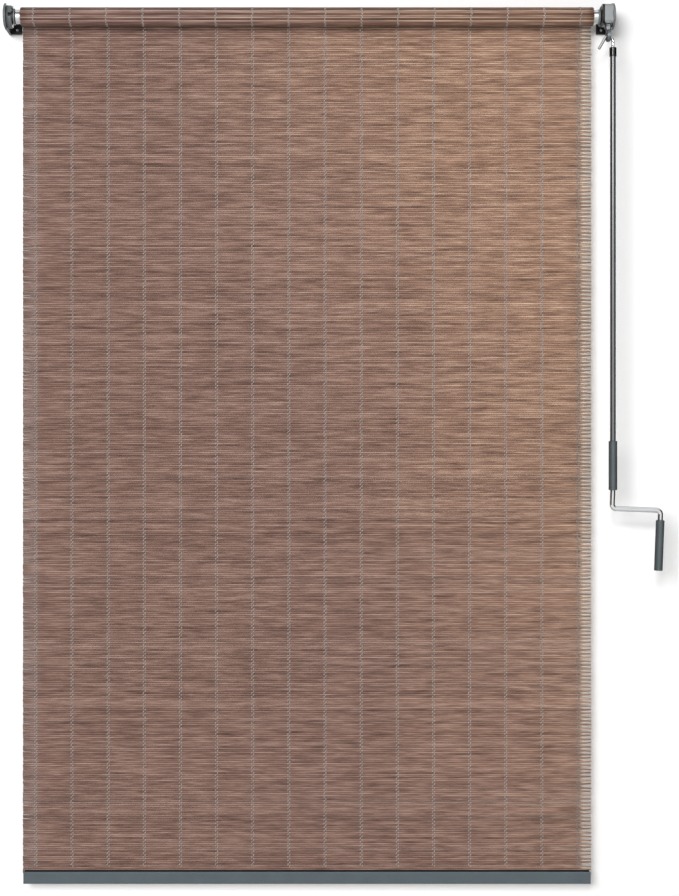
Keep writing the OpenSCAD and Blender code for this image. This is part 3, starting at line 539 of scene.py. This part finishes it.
def addReeds(tree, size, points, angle, finish):
    stick = addNode(tree, "GeometryNodeMeshCylinder", {"Radius": 1.0, "Depth": 1.0},
                    {"Vertices": size["Sides"], "Side Segments": size["Segments"]})
    onStick = addNode(tree, "GeometryNodeInputPosition")
    place = addNode(tree, "ShaderNodeSeparateXYZ", {}, {0: onStick})
    turn = addNode(tree, "ShaderNodeMath", {"operation": "MULTIPLY", 1: math.pi}, {0: place.outputs[2]})
    # a sine brings the rings closer together at the ends
    swing = addNode(tree, "ShaderNodeMath", {"operation": "SINE"}, {0: turn})
    half = addNode(tree, "ShaderNodeMath", {"operation": "MULTIPLY", 1: 0.5}, {0: size["Width"]})
    along = addNode(tree, "ShaderNodeMath", {"operation": "MULTIPLY"}, {0: swing, 1: half})
    reach = addNode(tree, "ShaderNodeMath", {"operation": "ABSOLUTE"}, {0: along})
    inner = addNode(tree, "ShaderNodeMath", {"operation": "SUBTRACT"}, {0: half, 1: size["Free end"]})
    tip = addNode(tree, "ShaderNodeMapRange", {}, {"Value": reach, "From Min": inner, "From Max": half})
    hand = addNode(tree, "ShaderNodeMath", {"operation": "SIGN"}, {0: along})
    lopsided = addNode(tree, "ShaderNodeMath", {"operation": "MULTIPLY_ADD", 2: 1.0},
                       {0: hand, 1: size["Right bias"]})
    taper = addNode(tree, "ShaderNodeMath", {"operation": "MULTIPLY"},
                    {0: lopsided, 1: size["End taper"]})
    slim = addNode(tree, "ShaderNodeMath", {"operation": "MULTIPLY"}, {0: tip, 1: taper})
    girth = addNode(tree, "ShaderNodeMath", {"operation": "SUBTRACT", 0: 1.0}, {1: slim})
    deep = addNode(tree, "ShaderNodeMath", {"operation": "MULTIPLY"}, {0: place, 1: size["Thick"]})
    halfDeep = addNode(tree, "ShaderNodeMath", {"operation": "MULTIPLY", 1: 0.5}, {0: deep})
    tall = addNode(tree, "ShaderNodeMath", {"operation": "MULTIPLY"},
                   {0: place.outputs[1], 1: size["Height"]})
    hexTall = addNode(tree, "ShaderNodeMath",
                      {"operation": "MULTIPLY", 1: 0.5 / math.cos(math.pi / reedSizes["Sides"])},
                      {0: tall})
    slimTall = addNode(tree, "ShaderNodeMath", {"operation": "MULTIPLY"}, {0: hexTall, 1: girth})
    shaped = addNode(tree, "ShaderNodeCombineXYZ", {}, {0: along, 1: halfDeep, 2: slimTall})
    # how far each point lies from the reed's crown towards its seams, for the painted seam shade
    rim = addNode(tree, "ShaderNodeMath", {"operation": "ABSOLUTE"}, {0: place.outputs[1]})
    seamed = addNode(tree, "GeometryNodeStoreNamedAttribute", {"data_type": "FLOAT", "Name": "seam"},
                     {"Geometry": stick, "Value": rim})
    reed = addNode(tree, "GeometryNodeSetPosition", {}, {"Geometry": seamed, "Position": shaped})

    index = addNode(tree, "GeometryNodeInputIndex")
    tone = addNode(tree, "FunctionNodeRandomValue", {},
                   {2: size["Tone low"], 3: size["Tone high"], 7: index, 8: size["Seed"]})
    toned = addNode(tree, "GeometryNodeStoreNamedAttribute", {"data_type": "FLOAT", "Name": "tone"},
                    {"Geometry": points, "Value": tone.outputs[1]})
    # every other reed is marked, and at the right its free end gets more of the painted end light
    other = addNode(tree, "ShaderNodeMath", {"operation": "MODULO", 1: 2.0}, {0: index})
    markedEveryOther = addNode(tree, "GeometryNodeStoreNamedAttribute", {"data_type": "FLOAT", "Name": "turned"},
                     {"Geometry": toned, "Value": other})
    fat = addNode(tree, "FunctionNodeRandomValue", {2: reedFit["slimmest"], 3: reedFit["fattest"]},
                  {7: index, 8: tone.outputs[2]})
    grow = addNode(tree, "ShaderNodeCombineXYZ", {0: 1.0}, {1: fat.outputs[1], 2: fat.outputs[1]})
    lean = addNode(tree, "ShaderNodeCombineXYZ", {}, {0: angle} if angle else {})
    laid = addNode(tree, "GeometryNodeInstanceOnPoints", {},
                   {"Points": markedEveryOther, "Instance": reed, "Rotation": lean, "Scale": grow})
    loose = addNode(tree, "GeometryNodeRealizeInstances", {}, {"Geometry": laid})

    # bends and free ends: all from the reed's tone and the place along it; the tone times a large number
    # sets each reed far from the next in the noise, and the two sides of a reed a little apart
    own = addNode(tree, "GeometryNodeInputNamedAttribute", {"data_type": "FLOAT", "Name": "tone"})
    onReed = addNode(tree, "GeometryNodeInputPosition")
    spot = addNode(tree, "ShaderNodeSeparateXYZ", {}, {0: onReed})
    far = addNode(tree, "ShaderNodeMath", {"operation": "MULTIPLY", 1: reedFit["reedStep"]}, {0: own})
    slow = addNode(tree, "ShaderNodeMath", {"operation": "MULTIPLY", 1: reedFit["bends"]}, {0: spot})
    where = addNode(tree, "ShaderNodeCombineXYZ", {}, {0: slow, 1: far})
    noise = addNode(tree, "ShaderNodeTexNoise", {"noise_dimensions": "2D", "Scale": 1.0, "Detail": 1.0},
                    {"Vector": where})
    wave = addNode(tree, "ShaderNodeMath", {"operation": "SUBTRACT", 1: 0.5}, {0: noise})
    bow = addNode(tree, "ShaderNodeMath", {"operation": "MULTIPLY"}, {0: wave, 1: size["Wave"]})
    offset = addNode(tree, "ShaderNodeMath", {"operation": "SUBTRACT"}, {0: spot, 1: size["Middle"]})
    away = addNode(tree, "ShaderNodeMath", {"operation": "ABSOLUTE"}, {0: offset})
    side = addNode(tree, "ShaderNodeMath", {"operation": "SIGN"}, {0: offset})
    end = addNode(tree, "ShaderNodeMapRange", {"interpolation_type": "SMOOTHSTEP"},
                  {"Value": away, "From Min": inner, "From Max": half})
    sideFar = addNode(tree, "ShaderNodeMath", {"operation": "MULTIPLY_ADD", 1: reedFit["sideStep"]},
                      {0: side, 2: far})
    drawn = addNode(tree, "ShaderNodeTexWhiteNoise", {"noise_dimensions": "1D"}, {"W": sideFar})
    fan = addNode(tree, "ShaderNodeMath", {"operation": "SUBTRACT", 1: 0.5}, {0: drawn})
    sided = addNode(tree, "ShaderNodeMath", {"operation": "MULTIPLY_ADD", 2: 1.0},
                    {0: side, 1: size["Right bias"]})
    fanSide = addNode(tree, "ShaderNodeMath", {"operation": "MULTIPLY"}, {0: fan, 1: sided})
    fanEnd = addNode(tree, "ShaderNodeMath", {"operation": "MULTIPLY"}, {0: fanSide, 1: end})
    rise = addNode(tree, "ShaderNodeMath", {"operation": "MULTIPLY_ADD"},
                   {0: fanEnd, 1: size["Spread"], 2: bow})
    cutBack = addNode(tree, "ShaderNodeMath", {"operation": "MULTIPLY"}, {0: drawn, 1: size["Trim"]})
    cutEnd = addNode(tree, "ShaderNodeMath", {"operation": "MULTIPLY"}, {0: cutBack, 1: end})
    shorten = addNode(tree, "ShaderNodeMath", {"operation": "MULTIPLY"}, {0: cutEnd, 1: side})
    inward = addNode(tree, "ShaderNodeMath", {"operation": "MULTIPLY", 1: -1.0}, {0: shorten})
    push = addNode(tree, "ShaderNodeCombineXYZ", {}, {0: inward, 1: bow, 2: rise})
    bent = addNode(tree, "GeometryNodeSetPosition", {}, {"Geometry": loose, "Offset": push})
    smooth = addNode(tree, "GeometryNodeSetShadeSmooth", {}, {"Geometry": bent})
    dressed = addNode(tree, "GeometryNodeSetMaterial", {"Material": finish}, {"Geometry": smooth})
    addNode(tree, "NodeGroupOutput", {}, {0: dressed})


# the hanging mat: one reed to a row, from the top down
panelSizes = {
    **reedSizes,
    "Count": mat["reeds"],
    "Pitch": mat["pitch"],
    "Top": mat["top"],
    "Plane": mat["midY"],
}
panelTree, panelIn = newTree("hanging reeds", panelSizes)
firstDown = addNode(panelTree, "ShaderNodeMath", {"operation": "MULTIPLY_ADD", 1: -0.5},
                    {0: panelIn["Pitch"], 2: panelIn["Top"]})
firstReed = addNode(panelTree, "ShaderNodeCombineXYZ", {},
                    {0: panelIn["Middle"], 1: panelIn["Plane"], 2: firstDown})
downStep = addNode(panelTree, "ShaderNodeMath", {"operation": "MULTIPLY", 1: -1.0}, {0: panelIn["Pitch"]})
stepDown = addNode(panelTree, "ShaderNodeCombineXYZ", {}, {2: downStep})
reedRows = addNode(panelTree, "GeometryNodeMeshLine", {"mode": "OFFSET"},
                   {"Count": panelIn["Count"], "Start Location": firstReed, "Offset": stepDown})
addReeds(panelTree, panelIn, reedRows, None, finishes["reed"])
reedMat = growMesh("reed_mat", panelTree, panelSizes)

# the mat left on the roller: the same reeds along a spiral that winds in
rollSizes = {
    **reedSizes,
    "Count": mat["woundReeds"],
    "Pitch": mat["pitch"],
    "Radius": mat["rollRadius"],
    "Lay": mat["layPitch"],
    "Axis": mat["axisY"],
    "Seed": 11,
    "Spread": 0.0003,
    "End taper": 0.1,
    "Tone low": -0.3,
    "Tone high": 1.3,
}


# angle and middle radius of the wound mat after an arc length, by the spiral's own area
def addSpiral(tree, size, arc):
    square = addNode(tree, "ShaderNodeMath", {"operation": "MULTIPLY"},
                     {0: size["Radius"], 1: size["Radius"]})
    used = addNode(tree, "ShaderNodeMath", {"operation": "MULTIPLY"}, {0: arc, 1: size["Lay"]})
    spent = addNode(tree, "ShaderNodeMath", {"operation": "MULTIPLY_ADD", 1: -1 / math.pi},
                    {0: used, 2: square})
    outer = addNode(tree, "ShaderNodeMath", {"operation": "SQRT"}, {0: spent})
    drop = addNode(tree, "ShaderNodeMath", {"operation": "SUBTRACT"}, {0: size["Radius"], 1: outer})
    turns = addNode(tree, "ShaderNodeMath", {"operation": "DIVIDE"}, {0: drop, 1: size["Lay"]})
    angle = addNode(tree, "ShaderNodeMath", {"operation": "MULTIPLY", 1: 2 * math.pi}, {0: turns})
    middle = addNode(tree, "ShaderNodeMath", {"operation": "SUBTRACT", 1: mat["thick"] / 2}, {0: outer})
    return angle, middle


def addPolar(tree, size, angle, radius, x):
    cosine = addNode(tree, "ShaderNodeMath", {"operation": "COSINE"}, {0: angle})
    sine = addNode(tree, "ShaderNodeMath", {"operation": "SINE"}, {0: angle})
    back = addNode(tree, "ShaderNodeMath", {"operation": "MULTIPLY_ADD"},
                   {0: cosine, 1: radius, 2: size["Axis"]})
    up = addNode(tree, "ShaderNodeMath", {"operation": "MULTIPLY"}, {0: sine, 1: radius})
    return addNode(tree, "ShaderNodeCombineXYZ", {}, {0: x, 1: back, 2: up})


rollTree, rollIn = newTree("wound reeds", rollSizes)
woundIndex = addNode(rollTree, "GeometryNodeInputIndex")
halfIndex = addNode(rollTree, "ShaderNodeMath", {"operation": "ADD", 1: 0.5}, {0: woundIndex})
woundArc = addNode(rollTree, "ShaderNodeMath", {"operation": "MULTIPLY"},
                   {0: halfIndex, 1: rollIn["Pitch"]})
woundAngle, woundRadius = addSpiral(rollTree, rollIn, woundArc)
woundPlace = addPolar(rollTree, rollIn, woundAngle, woundRadius, rollIn["Middle"])
woundLine = addNode(rollTree, "GeometryNodeMeshLine", {"mode": "OFFSET"}, {"Count": rollIn["Count"]})
woundRows = addNode(rollTree, "GeometryNodeSetPosition", {},
                    {"Geometry": woundLine, "Position": woundPlace})
storedAngle = addNode(rollTree, "GeometryNodeStoreNamedAttribute", {"data_type": "FLOAT", "Name": "lean"},
                      {"Geometry": woundRows, "Value": woundAngle})
readAngle = addNode(rollTree, "GeometryNodeInputNamedAttribute", {"data_type": "FLOAT", "Name": "lean"})
addReeds(rollTree, rollIn, storedAngle, readAngle, woundFinish)
reedRoll = growMesh("reed_roll", rollTree, rollSizes)
print("stage 3: reeds")

# warp threads: each line is a pair, one over a reed where the other is behind it
threadSizes = {
    "Lines": mat["warps"],
    "First": mat["left"] + mat["warpInset"],
    "Apart": mat["warpPitch"],
    "Beside": 0.0019,
    "Phase": 0,
    "Count": mat["reeds"] - mat["bareReeds"],
    "Pitch": mat["pitch"],
    "Rise": 0.00125,
    "Hold": 0.56,
    "Slant": 0.0010,
    "Half width": 0.0013,
    "Half thick": 0.00036,
}
hangingSizes = {**threadSizes, "Top": mat["top"], "Plane": mat["midY"]}


# over and under: +1 on one reed and -1 on the next; two points to a reed
def addWeave(tree, size):
    step = addNode(tree, "GeometryNodeSplineParameter").outputs["Index"]
    halved = addNode(tree, "ShaderNodeMath", {"operation": "MULTIPLY", 1: 0.5}, {0: step})
    reed = addNode(tree, "ShaderNodeMath", {"operation": "FLOOR"}, {0: halved})
    lower = addNode(tree, "ShaderNodeMath", {"operation": "MODULO", 1: 2.0}, {0: step})
    count = addNode(tree, "ShaderNodeMath", {"operation": "ADD"}, {0: reed, 1: size["Phase"]})
    odd = addNode(tree, "ShaderNodeMath", {"operation": "MODULO", 1: 2.0}, {0: count})
    face = addNode(tree, "ShaderNodeMath", {"operation": "MULTIPLY_ADD", 1: 2.0, 2: -1.0}, {0: odd})
    half = addNode(tree, "ShaderNodeMath", {"operation": "SUBTRACT", 1: 0.5}, {0: lower})
    held = addNode(tree, "ShaderNodeMath", {"operation": "MULTIPLY"}, {0: half, 1: size["Hold"]})
    down = addNode(tree, "ShaderNodeMath", {"operation": "ADD"}, {0: reed, 1: held})
    arc = addNode(tree, "ShaderNodeMath", {"operation": "ADD", 1: 0.5}, {0: down})
    length = addNode(tree, "ShaderNodeMath", {"operation": "MULTIPLY"}, {0: arc, 1: size["Pitch"]})
    slanted = addNode(tree, "ShaderNodeMath", {"operation": "MULTIPLY"}, {0: half, 1: face})
    across = addNode(tree, "ShaderNodeMath", {"operation": "MULTIPLY"}, {0: slanted, 1: size["Slant"]})
    return face, length, across


# a straight line of points for every warp, ready to be woven
def addWarps(tree, size):
    beside = addNode(tree, "ShaderNodeMath", {"operation": "ADD"}, {0: size["First"], 1: size["Beside"]})
    first = addNode(tree, "ShaderNodeCombineXYZ", {}, {0: beside})
    apart = addNode(tree, "ShaderNodeCombineXYZ", {}, {0: size["Apart"]})
    starts = addNode(tree, "GeometryNodeMeshLine", {"mode": "OFFSET"},
                     {"Count": size["Lines"], "Start Location": first, "Offset": apart})
    doubled = addNode(tree, "ShaderNodeMath", {"operation": "MULTIPLY", 1: 2.0}, {0: size["Count"]})
    line = addNode(tree, "GeometryNodeCurvePrimitiveLine", {"End": (0, 0, -1.0)})
    pointed = addNode(tree, "GeometryNodeResampleCurve", {"mode": "COUNT"},
                      {"Curve": line, "Count": doubled})
    laid = addNode(tree, "GeometryNodeInstanceOnPoints", {}, {"Points": starts, "Instance": pointed})
    return addNode(tree, "GeometryNodeRealizeInstances", {}, {"Geometry": laid})


# yarn section on the woven path
def addYarn(tree, size, path):
    ring = addNode(tree, "GeometryNodeCurvePrimitiveCircle", {"Resolution": 4, "Radius": 1.0})
    flat = addNode(tree, "ShaderNodeCombineXYZ", {2: 1.0}, {0: size["Half width"], 1: size["Half thick"]})
    section = addNode(tree, "GeometryNodeTransform", {}, {"Geometry": ring, "Scale": flat})
    level = addNode(tree, "GeometryNodeSetCurveNormal", {"mode": "FREE", "Normal": (1.0, 0.0, 0.0)},
                    {"Curve": path})
    swept = addNode(tree, "GeometryNodeCurveToMesh", {"Fill Caps": True},
                    {"Curve": level, "Profile Curve": section})
    smooth = addNode(tree, "GeometryNodeSetShadeSmooth", {}, {"Geometry": swept})
    dressed = addNode(tree, "GeometryNodeSetMaterial", {"Material": finishes["warp_thread"]},
                      {"Geometry": smooth})
    addNode(tree, "NodeGroupOutput", {}, {0: dressed})


threadTree, threadIn = newTree("hanging warp threads", hangingSizes)
warpLines = addWarps(threadTree, threadIn)
weaveFace, weaveLength, weaveAcross = addWeave(threadTree, threadIn)
onWarp = addNode(threadTree, "GeometryNodeInputPosition")
warpSpot = addNode(threadTree, "ShaderNodeSeparateXYZ", {}, {0: onWarp})
warpX = addNode(threadTree, "ShaderNodeMath", {"operation": "ADD"}, {0: warpSpot, 1: weaveAcross})
warpY = addNode(threadTree, "ShaderNodeMath", {"operation": "MULTIPLY_ADD"},
                {0: weaveFace, 1: threadIn["Rise"], 2: threadIn["Plane"]})
warpZ = addNode(threadTree, "ShaderNodeMath", {"operation": "SUBTRACT"},
                {0: threadIn["Top"], 1: weaveLength})
warpPlace = addNode(threadTree, "ShaderNodeCombineXYZ", {}, {0: warpX, 1: warpY, 2: warpZ})
warpPath = addNode(threadTree, "GeometryNodeSetPosition", {},
                   {"Geometry": warpLines, "Position": warpPlace})
addYarn(threadTree, threadIn, warpPath)
threadOver = growMesh("warp_threads_over", threadTree, hangingSizes)
threadUnder = growMesh("warp_threads_under", threadTree,
                       {**hangingSizes, "Phase": 1, "Beside": -hangingSizes["Beside"]})

rollThreadSizes = {
    **threadSizes,
    "Count": mat["woundReeds"],
    "Radius": mat["rollRadius"],
    "Lay": mat["layPitch"],
    "Axis": mat["axisY"],
    "Beside": 0.0011,
    "Slant": 0.0003,
}
rollThreadTree, rollThreadIn = newTree("wound warp threads", rollThreadSizes)
coilLines = addWarps(rollThreadTree, rollThreadIn)
coilFace, coilLength, coilAcross = addWeave(rollThreadTree, rollThreadIn)
coilAngle, coilMiddle = addSpiral(rollThreadTree, rollThreadIn, coilLength)
onCoil = addNode(rollThreadTree, "GeometryNodeInputPosition")
coilSpot = addNode(rollThreadTree, "ShaderNodeSeparateXYZ", {}, {0: onCoil})
coilX = addNode(rollThreadTree, "ShaderNodeMath", {"operation": "ADD"}, {0: coilSpot, 1: coilAcross})
coilRadius = addNode(rollThreadTree, "ShaderNodeMath", {"operation": "MULTIPLY_ADD"},
                     {0: coilFace, 1: rollThreadIn["Rise"], 2: coilMiddle})
coilPlace = addPolar(rollThreadTree, rollThreadIn, coilAngle, coilRadius, coilX)
coilPath = addNode(rollThreadTree, "GeometryNodeSetPosition", {},
                   {"Geometry": coilLines, "Position": coilPlace})
addYarn(rollThreadTree, rollThreadIn, coilPath)
rollOver = growMesh("roll_threads_over", rollThreadTree, rollThreadSizes)
rollUnder = growMesh("roll_threads_under", rollThreadTree,
                     {**rollThreadSizes, "Phase": 1, "Beside": -rollThreadSizes["Beside"]})
print("stage 4: warp threads")

# what each piece stands for and which body it rides on; the mat would fold up towards a line just below
# the roller's axis, clear of the reeds that turn there, and the threads a little further, so that their
# ends stay above the rail, but these fold shares are only worked out here and are not applied
lift = {"travel": 1.74, "foldBelow": 0.0125, "threadRoom": 0.0006}
lift["fold"] = mat["top"] - lift["foldBelow"]
lift["mat"] = 1 - lift["travel"] / (lift["fold"] - mat["bottom"])
threadEnd = mat["top"] - threadSizes["Count"] * mat["pitch"]
railTop = max(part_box(name)[1].z for name in ("bottom_rail", "hem_wedge")) + lift["travel"]
lift["threads"] = (lift["fold"] - railTop - lift["threadRoom"]) / (lift["fold"] - threadEnd)
for piece, slotName, node, share in ((reedMat, "reed", "shade_panel", lift["mat"]),
                                     (threadOver, "warp_thread", "panel_threads", lift["threads"]),
                                     (threadUnder, "warp_thread", "panel_threads", lift["threads"])):
    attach(piece, "mounting")
    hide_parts(node)
    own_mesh(piece)
for piece, slotName in ((reedRoll, "reed"), (rollOver, "warp_thread"), (rollUnder, "warp_thread")):
    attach(piece, "roller")
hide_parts("shade_roll")

# a plain pale studio, with the camera where the photograph was taken from
studio = {
    "cameraPlace": (-0.005, -3.376, -0.9217),
    "lens": 62.56,
    "shift": 0.0363,
    "floorZ": -1.93,
    "floorColour": "#f4f3f1",
    "floorGlow": 0.32,
    "wallY": 0.003,
    "wallTop": 3,
    "wallColour": "#f7f7f7",
    "wallGlow": 0.03,
    "reach": 4,
    "aim": (0.0, -0.03, -0.92),
    "skyLevel": 0.18,
}
lamps = {
    "key": {"place": (-5.0, -6.4, 1.1), "power": 400.0, "size": 5.5},
    "front": {"place": (-0.05, -3.3, 0.5), "power": 25.0, "size": 0.6},
    "paper": {"place": (-3.0, -7.0, 1.25), "power": 470.0, "size": 3.9},
    "rear": {"place": (2.5, 6.0, 1.4), "power": 330.0, "size": 5.0},
    "fill": {"place": (2.2, -2.0, 0.45), "power": 54.0, "size": 2.4},
}
scene = bpy.context.scene
scene.view_settings.view_transform = "Standard"
camera = bpy.data.objects.new("camera", bpy.data.cameras.new("camera"))
camera.location = studio["cameraPlace"]
camera.rotation_euler = (math.pi / 2, 0, 0)
camera.data.lens = studio["lens"]
camera.data.sensor_width = 36.0
camera.data.shift_x = studio["shift"]
camera.data.clip_end = 50.0
scene.collection.objects.link(camera)
scene.camera = camera

# disk lamps, all turned to the middle of the shade
lampObjects = {}
for name, lamp in lamps.items():
    made = bpy.data.objects.new(name, bpy.data.lights.new(name, "AREA"))
    made.data.shape = "DISK"
    made.data.size = lamp["size"]
    made.data.energy = lamp["power"]
    made.location = lamp["place"]
    x, y, z = [a - p for a, p in zip(studio["aim"], lamp["place"])]
    made.rotation_euler = (math.atan2(math.hypot(x, y), -z), 0, math.atan2(y, x) - math.pi / 2)
    scene.collection.objects.link(made)
    lampObjects[name] = made

# white to the camera; metal sees a bright room in front and a greyer one behind, which draws its edges
world = bpy.data.worlds.new("studio")
world.use_nodes = True
scene.world = world
sky = world.node_tree
sky.nodes.clear()
rays = addNode(sky, "ShaderNodeLightPath")
outward = addNode(sky, "ShaderNodeTexCoord")
facing = addNode(sky, "ShaderNodeSeparateXYZ", {}, {0: outward.outputs["Generated"]})
# bright walls of the room by the axis they lie on: in front, behind and overhead
roomWalls = (
    (1, {"From Min": -0.55, "From Max": -0.95, "To Min": 0.02, "To Max": 1.0}),
    (1, {"From Min": 0.75, "From Max": 0.98, "To Max": 0.8}),
    (2, {"From Min": 0.45, "From Max": 0.85, "To Max": 0.9}),
)
front, back, ceiling = [
    addNode(sky, "ShaderNodeMapRange", {"interpolation_type": "SMOOTHSTEP", **span},
            {"Value": facing.outputs[axis]})
    for axis, span in roomWalls]
around = addNode(sky, "ShaderNodeMath", {"operation": "MAXIMUM"}, {0: front, 1: back})
room = addNode(sky, "ShaderNodeMath", {"operation": "MAXIMUM"}, {0: around, 1: ceiling})
seen = addNode(sky, "ShaderNodeMath", {"operation": "MAXIMUM"},
               {0: rays.outputs["Is Glossy Ray"], 1: rays.outputs["Is Transmission Ray"]})
lit = addNode(sky, "ShaderNodeMix", {"data_type": "FLOAT", 2: studio["skyLevel"]}, {0: seen, 3: room})
level = addNode(sky, "ShaderNodeMix", {"data_type": "FLOAT", 3: 1.0},
                {0: rays.outputs["Is Camera Ray"], 2: lit})
glow = addNode(sky, "ShaderNodeBackground", {"Color": (1, 1, 1, 1)}, {"Strength": level})
addNode(sky, "ShaderNodeOutputWorld", {}, {0: glow})


# pale floor, and a backdrop that only takes the shade's shadow and is clear from behind
def addPlane(name, corners, colour, glowLevel):
    mesh = bpy.data.meshes.new(name)
    mesh.from_pydata(corners, [], [(0, 1, 2, 3)])
    plane = bpy.data.objects.new(name, mesh)
    scene.collection.objects.link(plane)
    material = bpy.data.materials.new(name + " paper")
    material.use_nodes = True
    tree = material.node_tree
    tree.nodes.clear()
    paper = addNode(tree, "ShaderNodeBsdfDiffuse", {"Color": linearColour(colour)})
    glow = addNode(tree, "ShaderNodeEmission", {"Strength": glowLevel})
    both = addNode(tree, "ShaderNodeAddShader", {}, {0: paper, 1: glow})
    clear = addNode(tree, "ShaderNodeBsdfTransparent")
    side = addNode(tree, "ShaderNodeNewGeometry")
    shown = addNode(tree, "ShaderNodeMixShader", {}, {0: side.outputs["Backfacing"], 1: both, 2: clear})
    addNode(tree, "ShaderNodeOutputMaterial", {}, {0: shown})
    mesh.materials.append(material)
    plane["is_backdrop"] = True
    return plane


reach, floorZ, wallY, wallTop = [studio[name] for name in ("reach", "floorZ", "wallY", "wallTop")]
floor = addPlane("floor", [(-reach, -reach, floorZ), (reach, -reach, floorZ),
                           (reach, reach, floorZ), (-reach, reach, floorZ)],
                 studio["floorColour"], studio["floorGlow"])
wall = addPlane("backdrop", [(-reach, wallY, floorZ), (reach, wallY, floorZ),
                             (reach, wallY, wallTop), (-reach, wallY, wallTop)],
                studio["wallColour"], studio["wallGlow"])
wall.visible_diffuse = wall.visible_glossy = wall.visible_transmission = wall.visible_shadow = False

# the backdrop has a lamp of its own, which keeps one soft shadow close beside the shade; flags keep the
# other lamps off the crank, which the front lamp gives one clean stripe and dark sides
flagged = [nodes[name] for name in ("crank_hook", "crank_rod", "crank_pole", "pole_cap", "upper_grip",
                                    "handle_grip")]
unflagged = [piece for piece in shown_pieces() if piece not in flagged]
for name, receivers in (("fill", unflagged), ("rear", unflagged),
                        ("key", unflagged + [floor]), ("paper", [wall])):
    group = bpy.data.collections.new("lit by the " + name + " lamp")
    for piece in receivers:
        group.objects.link(piece)
    lampObjects[name].light_linking.receiver_collection = group
print("stage 5: studio")
